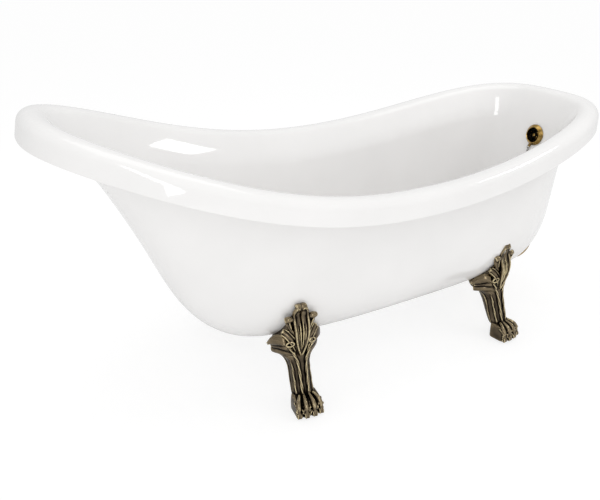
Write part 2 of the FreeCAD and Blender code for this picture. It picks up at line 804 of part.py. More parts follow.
def make_waste_tee():
    """Tee under the tub: takes the waste above, the overflow at its side."""
    body = disc(waste_tube / 2 + 4, tee_bottom, tee_top, waste_x)
    port = Part.makeCylinder(pipe_diameter / 2 + 3, tee_reach,
                             Vector(waste_x, 0, overflow_run_height), Vector(1, 0, 0))
    bore = Part.makeCylinder(pipe_diameter / 2 - 2, tee_reach + 1,
                             Vector(waste_x, 0, overflow_run_height), Vector(1, 0, 0))
    socket = Part.makeCylinder(pipe_diameter / 2 + 0.2, 18,
                               Vector(waste_x + tee_reach - 17, 0, overflow_run_height),
                               Vector(1, 0, 0))
    body = body.fuse(port).cut(socket)
    body = body.cut(disc(waste_tube / 2 + 0.3, tee_top - 8.5, tee_top + 1, waste_x))
    body = body.cut(disc(pipe_diameter / 2 - pipe_wall, tee_bottom - 1, tee_top, waste_x))
    body = body.cut(disc(pipe_diameter / 2 - tail_step + running_gap, tee_bottom - 1,
                         tee_bottom + tail_socket, waste_x)).cut(bore)
    return body.removeSplitter()


def make_tail_pipe():
    """Short pipe that a trap's nut grips; its slimmer end sits in the tee."""
    pipe = disc(pipe_diameter / 2, tail_height, tee_bottom - running_gap, waste_x)
    high = tee_bottom + tail_socket - running_gap
    pipe = pipe.fuse(disc(pipe_diameter / 2 - tail_step, tail_height, high, waste_x))
    return pipe.cut(disc(pipe_diameter / 2 - pipe_wall, tail_height - 1, high + 1,
                         waste_x)).removeSplitter()


# --------------------------------------------------------------- plug and chain
plug_seat = waste_floor + waste_flange_thickness + running_gap
plug_cap_thickness = 4.0
plug_top = plug_seat + plug_cap_thickness
plug_eye_height = 5.0        # hole of the plug's eye above its cap
plug_ring_radius = 6.0


def make_plug():
    """Rubber stopper: tapered body in the flange, thin cap that seals on it."""
    body = Part.makeCone(16.0, 17.6, 11, Vector(waste_x, 0, plug_seat - 11))
    cap = disc(plug_diameter / 2 + 3.5, plug_seat, plug_top, waste_x)
    cap = cap.makeFillet(1.5, [edge for edge in cap.Edges if abs(
        edge.CenterOfMass.z - plug_top) < 0.01])
    return body.fuse(cap).cut(disc(3.0, plug_seat - 6, plug_top + 1, waste_x)).removeSplitter()


def make_plug_eye():
    """Brass post moulded into the plug, flattened on top and drilled for the ring."""
    post = disc(2.9, plug_seat - 5.5, plug_top + 1, waste_x)
    collar = disc(6.5, plug_top, plug_top + 1.2, waste_x)
    tab = Part.makeBox(8, 2.4, 8.5, Vector(waste_x - 4, -1.2, plug_top + 1))
    hole = Part.makeCylinder(1.7, 10, Vector(waste_x, -5, plug_top + plug_eye_height + 1),
                             Vector(0, 1, 0))
    return post.fuse([collar, tab]).cut(hole).removeSplitter()


def ring_round(centre, axis, radius, wire):
    return Part.makeTorus(radius, wire, centre, axis)


def chain_ends():
    """Middle of the rosette's ring, which leans on the wall, and the wires to hook."""
    off_wall = rosette_seat + (eye_low + eye_high) / 2
    eye = at_overflow(Part.Vertex(eye_offset() + Vector(0, 0, off_wall))).Point
    rest = (split_ring_radius + split_ring_wire + running_gap - off_wall) / split_ring_radius
    down = Vector(-overflow_in.z, 0, overflow_in.x)
    ring = eye + (down * math.sqrt(1 - rest**2) + overflow_in * rest) * split_ring_radius
    start = ring - Vector(0, 0, split_ring_radius)
    end = Vector(waste_x, 0, plug_top + plug_eye_height + 1 + 2 * plug_ring_radius)
    return ring, start, end


def chain_points(count):
    """Joints of the chain; its end links go round the wires of the two rings."""
    _, start, end = chain_ends()
    away, home = Vector(0, 0, 0), Vector(0, 0, 0)
    for _ in range(5):
        points = hanging_points(start - away, end + home, count)
        away = (points[1] - points[0]).normalize() * (split_ring_wire + 0.1)
        home = (points[-1] - points[-2]).normalize() * (split_ring_wire + 0.1)
    return points


def hanging_points(start, end, count):
    """Evenly spaced points on the catenary of the chain's length between two ends."""
    across = Vector(end.x - start.x, end.y - start.y, 0)
    span, drop = across.Length, end.z - start.z
    length = count * chain_link_length
    low, high = 1.0, 5000.0
    for _ in range(80):
        scale = (low + high) / 2
        if 2 * scale * math.sinh(span / (2 * scale)) > math.sqrt(length**2 - drop**2):
            low = scale
        else:
            high = scale
    middle = span / 2 - scale * math.asinh(drop / (2 * scale * math.sinh(span / (2 * scale))))
    base = start.z - scale * math.cosh(middle / scale)
    first = scale * math.sinh(-middle / scale)
    points = []
    for k in range(count + 1):
        run = middle + scale * math.asinh((first + k * chain_link_length) / scale)
        point = start + across * (run / span)
        points.append(Vector(point.x, point.y, base + scale * math.cosh((run - middle) / scale)))
    return points


def make_link(a, b, turned):
    """Oval wire link between two joints, flat or on edge."""
    half = (chain_link_length + 0.35) / 2 - chain_link_width / 2
    radius = chain_link_width / 2 + chain_wire / 2
    corners = [Vector(-half, -radius, 0), Vector(half, -radius, 0), Vector(half, radius, 0),
               Vector(-half, radius, 0)]
    edges = [Part.LineSegment(corners[0], corners[1]).toShape(),
             Part.Arc(corners[1], Vector(half + radius, 0, 0), corners[2]).toShape(),
             Part.LineSegment(corners[2], corners[3]).toShape(),
             Part.Arc(corners[3], Vector(-half - radius, 0, 0), corners[0]).toShape()]
    link = swept(edges, chain_wire / 2)
    run = (b - a).normalize()
    side = Vector(0, 0, 1).cross(run).normalize()
    rise = run.cross(side)
    if turned:
        side, rise = rise, side * -1
    turn = FreeCAD.Rotation(run, side, rise, "XYZ")
    link.Placement = FreeCAD.Placement((a + b) * 0.5, turn)
    return link


# -------------------------------------------------------------------- all pieces
inner_shell = make_inner_shell()
outer_shell = make_outer_shell(inner_shell)
straps = [make_strap(head_foot_x), make_strap(foot_foot_x)]

parts = {"inner_shell": inner_shell, "outer_shell": outer_shell,
         "head_strap": straps[0], "foot_strap": straps[1],
         "base_board": make_base_board()}
bolts, washers, nuts = [], [], []
for end_name, x, y, turn in (("head", head_foot_x, head_foot_y, head_foot_turn),
                              ("foot_end", foot_foot_x, foot_foot_y, foot_foot_turn)):
    foot = make_near_foot(x, y, turn)
    parts[end_name + "_near_foot"] = foot
    parts[end_name + "_far_foot"] = mirrored(foot)
    parts[end_name + "_near_leveller"] = make_leveller(x, -y)
    parts[end_name + "_far_leveller"] = make_leveller(x, y)
    for point, out in stud_places(x):
        for made, make in ((bolts, make_stud), (washers, make_foot_washer),
                           (nuts, make_foot_nut)):
            shape = make(point, out)
            made += [shape, mirrored(shape)]
parts["foot_bolts"] = Part.makeCompound(bolts)
parts["foot_washers"] = Part.makeCompound(washers)
parts["foot_nuts"] = Part.makeCompound(nuts)
for name, x_places in (("head_strap", (head_foot_x,)), ("foot_strap", (foot_foot_x,)),
                       ("outer_shell", (head_foot_x, foot_foot_x))):
    for x in x_places:
        for point, out in stud_places(x):
            hole = aimed(disc((stud_diameter + stud_clearance) / 2, -20, 20), point, out)
            parts[name] = parts[name].cut(hole).cut(mirrored(hole))

parts["overflow_rosette"] = make_rosette()
parts["overflow_grille"] = make_grille()
parts["overflow_screw"] = make_overflow_screw()
parts["overflow_inner_gasket"] = make_inner_gasket()
parts["overflow_outer_gasket"] = make_outer_gasket()
parts["overflow_elbow"] = make_elbow()
parts["overflow_pipe"] = make_overflow_pipe()
elbow_end = elbow_path()[3]
parts["elbow_slip_nut"] = make_slip_nut(elbow_end + Vector(0, 0, -20), Vector(0, 0, -1))
parts["tee_slip_nut"] = make_slip_nut(
    Vector(waste_x + tee_reach, 0, overflow_run_height), Vector(1, 0, 0))
parts["waste_flange"] = make_waste_flange()
parts["waste_gasket"] = make_waste_gasket()
parts["waste_locknut"] = make_waste_locknut()
parts["waste_tee"] = make_waste_tee()
parts["tail_pipe"] = make_tail_pipe()
parts["plug"] = make_plug()
parts["plug_eye"] = make_plug_eye()
parts["chain_ring"] = ring_round(chain_ends()[0], Vector(0, 1, 0), split_ring_radius,
                                 split_ring_wire)
parts["plug_ring"] = ring_round(
    Vector(waste_x, 0, plug_top + plug_eye_height + 1 + plug_ring_radius), Vector(1, 0, 0),
    plug_ring_radius, split_ring_wire)
joints = chain_points(chain_links)
parts["plug_chain"] = Part.makeCompound(
    [make_link(a, b, k % 2 == 1) for k, (a, b) in enumerate(zip(joints, joints[1:]))])

os.makedirs("parts", exist_ok=True)
for name, shape in parts.items():
    shape.exportStep("parts/" + name + ".step")
    box = shape.BoundBox
    print("%-24s %2d %s %9.0f mm3  x %7.1f %7.1f  y %7.1f %7.1f  z %6.1f %6.1f" % (
        name, len(shape.Solids), "ok" if shape.isValid() else "BAD", shape.Volume,
        box.XMin, box.XMax, box.YMin, box.YMax, box.ZMin, box.ZMax))
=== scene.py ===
import json
import math
import random

import bpy
import numpy as np
from mathutils import Matrix, Quaternion, Vector, bvhtree

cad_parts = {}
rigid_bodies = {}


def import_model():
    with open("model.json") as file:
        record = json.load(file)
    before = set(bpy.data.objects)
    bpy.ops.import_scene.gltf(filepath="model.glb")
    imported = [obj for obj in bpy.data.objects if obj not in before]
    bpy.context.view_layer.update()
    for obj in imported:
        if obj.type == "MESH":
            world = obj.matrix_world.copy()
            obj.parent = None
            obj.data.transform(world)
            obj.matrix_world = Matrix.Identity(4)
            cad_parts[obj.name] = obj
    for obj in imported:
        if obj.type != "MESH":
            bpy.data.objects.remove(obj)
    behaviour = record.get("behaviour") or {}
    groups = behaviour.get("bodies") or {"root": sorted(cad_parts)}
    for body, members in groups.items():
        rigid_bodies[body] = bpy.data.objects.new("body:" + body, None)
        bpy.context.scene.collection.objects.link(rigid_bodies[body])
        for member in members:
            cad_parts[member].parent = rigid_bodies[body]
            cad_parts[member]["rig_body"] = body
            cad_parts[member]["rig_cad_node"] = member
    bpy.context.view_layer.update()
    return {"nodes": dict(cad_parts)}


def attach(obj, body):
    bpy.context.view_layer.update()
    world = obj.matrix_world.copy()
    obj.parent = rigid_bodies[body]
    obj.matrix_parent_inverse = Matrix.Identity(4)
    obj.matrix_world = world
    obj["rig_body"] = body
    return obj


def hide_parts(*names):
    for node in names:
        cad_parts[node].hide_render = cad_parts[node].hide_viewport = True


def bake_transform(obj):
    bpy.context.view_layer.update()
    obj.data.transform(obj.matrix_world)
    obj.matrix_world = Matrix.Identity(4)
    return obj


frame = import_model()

nodes = frame["nodes"]
mm = 0.001
print("frame loaded:", len(nodes), "nodes")


# ---- small helpers for working in object and edit mode
def deselectAll():
    if bpy.context.mode != "OBJECT":
        bpy.ops.object.mode_set(mode="OBJECT")
    bpy.ops.object.select_all(action="DESELECT")


def pick(thing):
    deselectAll()
    thing.select_set(True)
    bpy.context.view_layer.objects.active = thing


def linear(hexValue):
    # sRGB hex to the linear colour that the nodes expect
    channels = [int(hexValue[i:i + 2], 16) / 255 for i in (1, 3, 5)]
    return tuple(c / 12.92 if c <= 0.04045 else ((c + 0.055) / 1.055) ** 2.4
                 for c in channels) + (1.0,)


def addNode(tree, kind, settings=None, links=None):
    # settings: attributes or input values by name, links: input name to output socket
    node = tree.nodes.new(kind)
    for key, value in (settings or {}).items():
        if hasattr(node, key):
            setattr(node, key, value)
        else:
            node.inputs[key].default_value = value
    for key, socket in (links or {}).items():
        tree.links.new(socket, node.inputs[key])
    return node


def newMaterial(name, settings):
    material = bpy.data.materials.new(name)
    material.use_nodes = True
    tree = material.node_tree
    shader = tree.nodes["Principled BSDF"]
    for key, value in settings.items():
        shader.inputs[key].default_value = value
    coords = addNode(tree, "ShaderNodeTexCoord").outputs["Object"]
    return material, tree, shader, coords


def setRamp(node, stops):
    ramp = node.color_ramp
    while len(ramp.elements) < len(stops):
        ramp.elements.new(0.5)
    for element, (place, colour) in zip(ramp.elements, stops):
        element.position = place
        element.color = linear(colour) if isinstance(colour, str) else (colour,) * 3 + (1.0,)


def giveMaterial(thing, material):
    thing.data.materials.clear()
    thing.data.materials.append(material)


# ---- materials
acrylicLook = {"base": "#F5F4F3", "shade": "#F2F1F0", "roughness": 0.05, "ior": 1.49,
               "coat": 0.3, "coatRoughness": 0.03, "cloudSize": 180 * mm,
               "waveSize": 90 * mm, "waveStrength": 0.012, "waveHeight": 1.0 * mm}


def acrylic(name, look):
    # cast acrylic sheet, vacuum formed: mirror gloss over faint long waves from the mould
    material, tree, shader, coords = newMaterial(name, {
        "Roughness": look["roughness"], "IOR": look["ior"], "Coat Weight": look["coat"],
        "Coat Roughness": look["coatRoughness"]})
    cloud = addNode(tree, "ShaderNodeTexNoise", {"Scale": 1 / look["cloudSize"], "Detail": 2.0},
                    {"Vector": coords})
    tint = addNode(tree, "ShaderNodeValToRGB", {}, {"Fac": cloud.outputs["Fac"]})
    setRamp(tint, [(0.3, look["shade"]), (0.7, look["base"])])
    tree.links.new(tint.outputs["Color"], shader.inputs["Base Color"])
    wave = addNode(tree, "ShaderNodeTexNoise", {"Scale": 1 / look["waveSize"], "Detail": 1.0},
                   {"Vector": coords})
    bump = addNode(tree, "ShaderNodeBump", {"Strength": look["waveStrength"],
                                            "Distance": look["waveHeight"]},
                   {"Height": wave.outputs["Fac"]})
    tree.links.new(bump.outputs["Normal"], shader.inputs["Normal"])
    return material


brassLook = {"recessPatinaAndShade": "#060504", "deep": "#241F19", "mid": "#5A5042", "rub": "#83755D",
             "edge": "#E0D0A6", "grain": 1.6 * mm, "grainStrength": 0.25,
             "grainHeight": 0.15 * mm, "blotch": 22 * mm, "blotchSpread": 0.22}


def antiqueBrass(name, look):
    # cast brass, blackened with acid and rubbed back: dark hollows, bright ridges, partly patina
    # and rubbed wear and partly painted shade in the hollows and painted highlights on the ridges
    material, tree, shader, coords = newMaterial(name, {"Metallic": 1.0})
    # each point's score of wear and painted shade comes from the mesh's shape, shifted a little
    # by the blotches
    wearAndShade = addNode(tree, "ShaderNodeAttribute", {"attribute_name": "wearAndShade"})
    blotch = addNode(tree, "ShaderNodeTexNoise", {"Scale": 1 / look["blotch"], "Detail": 4.0},
                     {"Vector": coords})
    spread = addNode(tree, "ShaderNodeMath", {"operation": "MULTIPLY_ADD"},
                     {0: blotch.outputs["Fac"]})
    spread.inputs[1].default_value = look["blotchSpread"]
    spread.inputs[2].default_value = -look["blotchSpread"] / 2
    worn = addNode(tree, "ShaderNodeMath", {"operation": "ADD"},
                   {0: wearAndShade.outputs["Fac"], 1: spread.outputs["Value"]})
    # the near-black recess colour is painted shade in the deep hollows, and the pale edge colour
    # is partly rubbed brass and partly a painted highlight on the ridges
    tint = addNode(tree, "ShaderNodeValToRGB", {}, {"Fac": worn.outputs["Value"]})
    setRamp(tint, [(0.22, look["recessPatinaAndShade"]), (0.38, look["deep"]), (0.54, look["mid"]),
                   (0.8, look["rub"]), (1.0, look["edge"])])
    tree.links.new(tint.outputs["Color"], shader.inputs["Base Color"])
    gloss = addNode(tree, "ShaderNodeValToRGB", {}, {"Fac": worn.outputs["Value"]})
    setRamp(gloss, [(0.2, 0.42), (0.5, 0.26), (0.9, 0.16)])
    tree.links.new(gloss.outputs["Color"], shader.inputs["Roughness"])
    grain = addNode(tree, "ShaderNodeTexNoise", {"Scale": 1 / look["grain"], "Detail": 3.0},
                    {"Vector": coords})
    bump = addNode(tree, "ShaderNodeBump", {"Strength": look["grainStrength"],
                                            "Distance": look["grainHeight"]},
                   {"Height": grain.outputs["Fac"]})
    tree.links.new(bump.outputs["Normal"], shader.inputs["Normal"])
    return material


plainLook = {"blotch": 14 * mm, "glossiest": 0.8, "dullest": 1.25, "grainStrength": 0.15,
             "grainHeight": 0.1 * mm}


def plainSurface(name, dark, light, roughness, grain, metallic=1.0, look=plainLook):
    # machined, drawn or moulded: two tones of one colour over a fine grain
    material, tree, shader, coords = newMaterial(name, {"Metallic": metallic})
    blotch = addNode(tree, "ShaderNodeTexNoise", {"Scale": 1 / look["blotch"], "Detail": 5.0},
                     {"Vector": coords})
    tint = addNode(tree, "ShaderNodeValToRGB", {}, {"Fac": blotch.outputs["Fac"]})
    setRamp(tint, [(0.35, dark), (0.65, light)])
    tree.links.new(tint.outputs["Color"], shader.inputs["Base Color"])
    gloss = addNode(tree, "ShaderNodeMapRange", {}, {"Value": blotch.outputs["Fac"]})
    gloss.inputs["To Min"].default_value = roughness * look["glossiest"]
    gloss.inputs["To Max"].default_value = roughness * look["dullest"]
    tree.links.new(gloss.outputs["Result"], shader.inputs["Roughness"])
    fine = addNode(tree, "ShaderNodeTexNoise", {"Scale": 1 / grain, "Detail": 2.0},
                   {"Vector": coords})
    bump = addNode(tree, "ShaderNodeBump", {"Strength": look["grainStrength"],
                                            "Distance": look["grainHeight"]},
                   {"Height": fine.outputs["Fac"]})
    tree.links.new(bump.outputs["Normal"], shader.inputs["Normal"])
    return material


whiteAcrylic = acrylic("castAcrylic", acrylicLook)
castBrass = antiqueBrass("antiqueCastBrass", brassLook)
agedBrass = plainSurface("agedTurnedBrass", "#846A38", "#B99A5C", 0.2, 1.2 * mm)
# the near-black of the overflow grille is painted shade standing for the dark opening behind it
grilleShadeBrass = plainSurface("grilleBrassPaintedShade", "#0A0907", "#16130E", 0.4, 1.0 * mm)
chainMetal = plainSurface("agedNickel", "#5D5A52", "#8B877C", 0.25, 1.0 * mm)
zincSteel = plainSurface("zincPlatedSteel", "#9A9B98", "#B9BAB6", 0.35, 1.5 * mm)
galvanised = plainSurface("galvanisedSteel", "#8E9395", "#AEB3B5", 0.42, 6 * mm)
blackRubber = plainSurface("mouldedRubber", "#0C0C0C", "#171717", 0.6, 0.8 * mm, 0.0)
chipBoard = plainSurface("rawChipboard", "#9C7A4E", "#BF9C6B", 0.8, 3 * mm, 0.0)
nodeMaterials = {
    "inner_shell": whiteAcrylic, "outer_shell": whiteAcrylic, "base_board": chipBoard,
    "head_strap": galvanised, "foot_strap": galvanised, "foot_bolts": zincSteel,
    "foot_washers": zincSteel, "foot_nuts": zincSteel, "overflow_inner_gasket": blackRubber,
    "overflow_outer_gasket": blackRubber, "waste_gasket": blackRubber, "plug": blackRubber,
    "chain_ring": chainMetal, "plug_ring": chainMetal, "plug_chain": chainMetal,
    "overflow_grille": grilleShadeBrass}
for name, node in nodes.items():
    material = zincSteel if name.endswith("leveller") else nodeMaterials.get(name, agedBrass)
    giveMaterial(node, material)
print("materials made")


# ---- the shells and the chain: a merged copy of the CAD surface, shaded smooth
copySettings = {"mergeWithin": 0.02 * mm, "smoothBelow": 30}


def smoothCopy(nodeName, pieceName, material):
    pick(nodes[nodeName])
    bpy.ops.object.duplicate()
    twin = bpy.context.view_layer.objects.active
    twin.name = pieceName
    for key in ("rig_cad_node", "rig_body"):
        if key in twin:
            del twin[key]
    twin.parent = None
    giveMaterial(twin, material)
    bpy.ops.object.mode_set(mode="EDIT")
    bpy.ops.mesh.select_all(action="SELECT")
    bpy.ops.mesh.remove_doubles(threshold=copySettings["mergeWithin"])
    bpy.ops.object.mode_set(mode="OBJECT")
    if twin.data.has_custom_normals:
        bpy.ops.mesh.customdata_custom_splitnormals_clear()
    bpy.ops.object.shade_smooth_by_angle(angle=math.radians(copySettings["smoothBelow"]))
    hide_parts(nodeName)
    return twin


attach(smoothCopy("inner_shell", "tubBasinAndRim", whiteAcrylic), "root")
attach(smoothCopy("outer_shell", "tubSkin", whiteAcrylic), "root")
# the chain hangs from the overflow down to the plug
chain = smoothCopy("plug_chain", "plugChainLinks", chainMetal)
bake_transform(chain)
print("shells and chain done")


# ---- closed forms swept along a spine, the way a founder's pattern is built up
def spline(points, t):
    # smooth curve through points, t from 0 to 1
    points = [Vector(p) for p in points]
    count = len(points) - 1
    place = min(max(t, 0.0), 1.0) * count
    k = min(int(place), count - 1)
    u = place - k
    a, b = points[max(k - 1, 0)], points[k]
    c, d = points[k + 1], points[min(k + 2, count)]
    return 0.5 * ((2 * b) + (c - a) * u + (2 * a - 5 * b + 4 * c - d) * u**2
                  + (3 * b - a - 3 * c + d) * u**3)


def along(values, t):
    return spline([(v, 0, 0) for v in values], t).x


def closedForm(name, around, length, place):
    # a grid rolled into a tube: place(a, t) gives the point, a round it and t along it
    deselectAll()
    bpy.ops.mesh.primitive_grid_add(x_subdivisions=around, y_subdivisions=length, size=2)
    thing = bpy.context.object
    thing.name = name
    for vertex in thing.data.vertices:
        a, t = (vertex.co.x + 1) / 2, (vertex.co.y + 1) / 2
        vertex.co = Vector(place(a, t)) * mm
    bpy.ops.object.mode_set(mode="EDIT")
    bpy.ops.mesh.select_all(action="SELECT")
    bpy.ops.mesh.remove_doubles(threshold=0.01 * mm)
    bpy.ops.mesh.select_all(action="DESELECT")
    bpy.ops.mesh.select_non_manifold()
    bpy.ops.mesh.fill_holes(sides=0)
    bpy.ops.mesh.select_all(action="SELECT")
    bpy.ops.mesh.normals_make_consistent(inside=False)
    bpy.ops.object.mode_set(mode="OBJECT")
    return thing


def sweep(name, spine, wide, thick, side=(1, 0, 0), lobes=0, turns=0.0, around=18, length=26,
          cup=0.0):
    # wide and thick: half sizes along the spine; lobes and turns twist it into rope
    side = Vector(side).normalized()

    def place(a, t):
        middle = spline(spine, t)
        run = (spline(spine, t + 0.02) - spline(spine, t - 0.02)).normalized()
        across = (side - run * side.dot(run)).normalized()
        face = across.cross(run)
        angle = 2 * math.pi * a
        ripple = 1 + 0.22 * math.cos(lobes * angle + 2 * math.pi * turns * t) if lobes else 1
        w, h = along(wide, t) * ripple, along(thick, t) * ripple
        c = math.cos(angle)
        return middle + across * (w * c) + face * (h * math.sin(angle) + cup * c * c)

    return closedForm(name, around, length, place)


def joined(things, name):
    deselectAll()
    for thing in things:
        thing.select_set(True)
    bpy.context.view_layer.objects.active = things[0]
    bpy.ops.object.join()
    things[0].name = name
    return things[0]


def applyModifier(thing, kind, **settings):
    pick(thing)
    modifier = thing.modifiers.new(kind.title(), kind)
    for key, value in settings.items():
        setattr(modifier, key, value)
    bpy.ops.object.modifier_apply(modifier=modifier.name)


# hollows may fall further (least) than ridges rise (most), so deep hollows take strong painted
# shade
# each round: steps of smoothing, the height in mm that counts as one, and the most it adds
wearAndShadeLook = {"rounds": ((5, 0.42, 1.4), (40, 1.9, 0.5)), "least": -1.8, "middle": 0.5,
            "weight": 0.25}


def markWearAndShade(thing, look=wearAndShadeLook):
    # ridges score above the middle and hollows below: how far a point stands off its
    # surroundings. The score sets the brass's patina and rubbed wear, and with it painted shade
    # in the hollows and painted highlights on the ridges
    mesh = thing.data
    count = len(mesh.vertices)
    points = np.zeros(count * 3)
    mesh.vertices.foreach_get("co", points)
    points = points.reshape(-1, 3) / mm
    normals = np.zeros(count * 3)
    mesh.vertices.foreach_get("normal", normals)
    normals = normals.reshape(-1, 3)
    edges = np.zeros(len(mesh.edges) * 2, int)
    mesh.edges.foreach_get("vertices", edges)
    a, b = edges.reshape(-1, 2).T
    valence = np.maximum(np.bincount(a, minlength=count) + np.bincount(b, minlength=count), 1)
    wearAndShade, soft, done = np.full(count, look["middle"]), points.copy(), 0
    for steps, size, most in look["rounds"]:
        for _ in range(steps - done):
            soft = np.stack([np.bincount(a, soft[b, k], count) + np.bincount(b, soft[a, k], count)
                             for k in range(3)], 1) / valence[:, None]
        done = steps
        rise = ((points - soft) * normals).sum(1) / size
        wearAndShade += look["weight"] * np.clip(rise, look["least"], most)
    layer = mesh.attributes.new("wearAndShade", "FLOAT", "POINT")
    layer.data.foreach_set("value", np.clip(wearAndShade, 0, 1).astype(np.float32))


# ---- the claw feet
feet = {"turn": {"head": -6.5, "foot_end": 10.5},
        "place": {"head": (-290.0, -277.3), "foot_end": (452.0, -272.5)},
        "sole": 2.5, "voxel": 1.4 * mm,
        "toes": ((-31.5, -30.5), (-11.5, -35), (11.5, -35), (31.5, -30.5)),
        # fur: places across the paw, tufts at each, and how low and high they stand
        "fur": (-37, -21.5, -16, 0, 16, 21.5, 37, -5, 5), "furCount": 16, "furSpan": (6, 46),
        # the skin is looked for from the front, between lookFrom and deepest. What is above
        # skinAbove and behind skinBehind reaches as far as bite past it
        "lookFrom": -200, "deepest": 140.0, "skinAbove": 140, "skinBehind": 20, "bite": 1.0}
skinSource = nodes["outer_shell"].data
skinTree = bvhtree.BVHTree.FromPolygons([v.co for v in skinSource.vertices],
                                        [p.vertices[:] for p in skinSource.polygons])


def footPlace(end):
    x, y = feet["place"][end]
    return (Matrix.Translation((x * mm, y * mm, 0))
            @ Matrix.Rotation(math.radians(feet["turn"][end]), 4, "Z"))


def hullDepth(place, x, z):
    # how far back the tub's skin lies behind a point of the foot's front, in millimetres
    start = place @ Vector((x * mm, feet["lookFrom"] * mm, z * mm))
    hit = skinTree.ray_cast(start, place.to_3x3() @ Vector((0, 1, 0)))
    if not hit[0]:
        return feet["deepest"]
    return min(feet["lookFrom"] + hit[3] / mm, feet["deepest"])


def makeFoot(end):
    place = footPlace(end)
    parts = []

    def add(spine, wide, thick=None, **more):
        name = end + "Form%d" % len(parts)
        parts.append(sweep(name, spine, wide, thick or wide, **more))

    # shaft that leans in, saddle and leaf body: height, half width, front and back
    levels = ((46, 31, -8, 50), (58, 31.5, 1, 58), (80, 30, 9, 72), (106, 29.5, 18, 86),
              (125, 31, 24, 98), (143, 37, 29, 110), (156, 50, 34, 124), (166, 62, 42, 132),
              (178, 66, 44, 138), (192, 62, 40, 140), (206, 52, 36, 136), (222, 42, 32, 130),
              (243, 34, 31, 120), (262, 28, 35, 110), (285, 24, 43, 96), (303, 18, 41, 84),
              (314, 11, 39, 74))

    def shaft(a, t):
        z, half, front, back = [along([level[k] for level in levels], t) for k in range(4)]
        c, s = math.cos(2 * math.pi * a), math.sin(2 * math.pi * a)
        return (half * c, (front + back) / 2 + (back - front) / 2 * s, z)

    parts.append(closedForm("shaft", 90, 110, shaft))

    def block(a, t):
        z = along((feet["sole"], 5, 20, 33, 43, 50, 54), t)
        half = along((36, 38, 38.5, 38.2, 37, 35, 30), t)
        front = along((-24, -28, -29, -28, -25, -16, 4), t)
        back = along((24, 26, 27, 27.5, 28, 28, 26), t)
        c, s = math.cos(2 * math.pi * a), math.sin(2 * math.pi * a)
        radius = (abs(c)**7 + abs(s)**7) ** (-1 / 7)
        return (half * c * radius, (front + back) / 2 + (back - front) / 2 * s * radius, z)

    parts.append(closedForm("heelBlock", 64, 24, block))

    for x, y in feet["toes"]:
        add([(x * 0.6, 2, 56), (x * 0.78, -9, 53), (x * 0.93, y + 13, 47),
             (x, y + 5, 37), (x * 1.02, y + 2, 24), (x * 1.02, y, 11), (x * 1.01, y + 5, 5)],
            (3.4, 4.4, 6.4, 6.8, 5.0, 6.2, 4), (4.5, 5, 6.4, 7.2, 5.6, 7, 4))
        # nail ridges over both sides of the toe's end
        for side in (-1, 1):
            add([(x + side * 4.4, y + 2, 26), (x * 1.02 + side * 5.2, y - 4.6, 16),
                 (x * 1.02 + side * 4.6, y - 5.6, 8), (x * 1.02 + side * 2.6, y - 2, 4.5)],
                (1, 1.7, 1.7, 1.2), around=10, length=16)
    # stippled fur between and beside the toes
    tufts = random.Random(7)
    for gap in feet["fur"]:
        for _ in range(feet["furCount"]):
            z = tufts.uniform(*feet["furSpan"])
            x = gap + tufts.uniform(-3.4, 3.4)
            y = -35 + abs(gap) * 0.14 + max(0, z - 34) * 1.2 + tufts.uniform(-1.5, 2)
            r = tufts.uniform(1.2, 2.0)
            add([(x, y + 4, z + 2), (x, y - 1, z), (x, y - 1, z - 3)], (r, r, 0.4),
                around=7, length=5)

    for side in (-1, 1):
        # rope ridges of the shaft, the inner one up to the eye, the outer to the lip
        ropes = (((9.6, -1, 48), (9.6, 3.2, 64), (9.8, 11.4, 90), (10.5, 21, 120),
                  (13, 30, 148), (20, 35, 168), (30, 37, 187), (38, 38, 198)),
                 ((23, 7, 48), (24, 13, 62), (24, 24, 88), (24, 34.5, 115),
                  (25.5, 42, 138), (32, 48, 155), (47, 60, 169), (61, 76, 176)))
        for path, size in zip(ropes, (3.3, 2.7)):
            add([(side * x, y, z) for x, y, z in path],
                [size * k for k in (0.8, 1, 1, 1, 1, 1, 0.9, 0.6)],
                lobes=3, turns=side * 6, around=24, length=150)
        # smooth ridge along the flank
        add([(side * x, y, z) for x, y, z in (
            (31.5, 27, 50), (30.5, 43, 80), (30, 53, 108), (32, 61, 128), (38.5, 69, 145),
            (51, 77, 158), (63, 86, 167))], (1.6, 2.2, 2.4, 2.4, 2.6, 2.8, 2.4))
        # thick lip under the wing, and the hollow leaf between them
        lip = [(side * 17, 38, 168), (side * 34, 47, 172), (side * 49, 62, 172),
               (side * 58, 77, 169), (side * 64, 90, 166)]
        add(lip, (5, 8, 10, 11, 10.5), (5, 6.5, 7, 7, 6.5), side=(0, 0, 1))
        for rise in (-7, 7):
            add([(x, y - 4.5, z + rise) for x, y, z in lip], (1.2, 1.8, 2.2, 2.2, 1.8),
                side=(0, 0, 1))
        add([(side * 22, 40, 182), (side * 38, 48, 188), (side * 53, 66, 187),
             (side * 68, 86, 180)], (5, 9, 9, 5), (4, 5.5, 6, 4), side=(0, 0, 1))
        # wing leaf that sweeps back to a point near the tub
        wing = [(side * 41, 45, 200), (side * 48, 51, 209), (side * 58, 64, 207),
                (side * 68, 79, 197), (side * 79, 94, 184)]
        add(wing, (8, 14, 15.5, 12, 1.5), (5, 6.5, 7.5, 6.5, 1.5), side=(0, 0.25, 1), cup=-2.5)
        add([(x, y - 5.5, z - 2) for x, y, z in wing], (1.6, 2.6, 2.8, 2.4, 0.8),
            (1.6, 2.4, 2.6, 2.2, 0.8), side=(0, 0, 1))
        # fold leaf above the eye, its tip turned forward
        fold = [(side * 12, 35, 188), (side * 20, 35, 208), (side * 31, 39, 225),
                (side * 41, 46, 237), (side * 49, 49, 243)]
        add(fold, (4, 8, 12, 11, 6), (4, 5, 5.5, 5.5, 4.5), side=(1, 0, -0.8 * side), cup=-2.5)
        for shift in (-7, 0, 7):
            add([(x + side * shift * 0.8, y - 4, z - shift) for x, y, z in fold],
                (1, 1.7, 2, 1.9, 1))
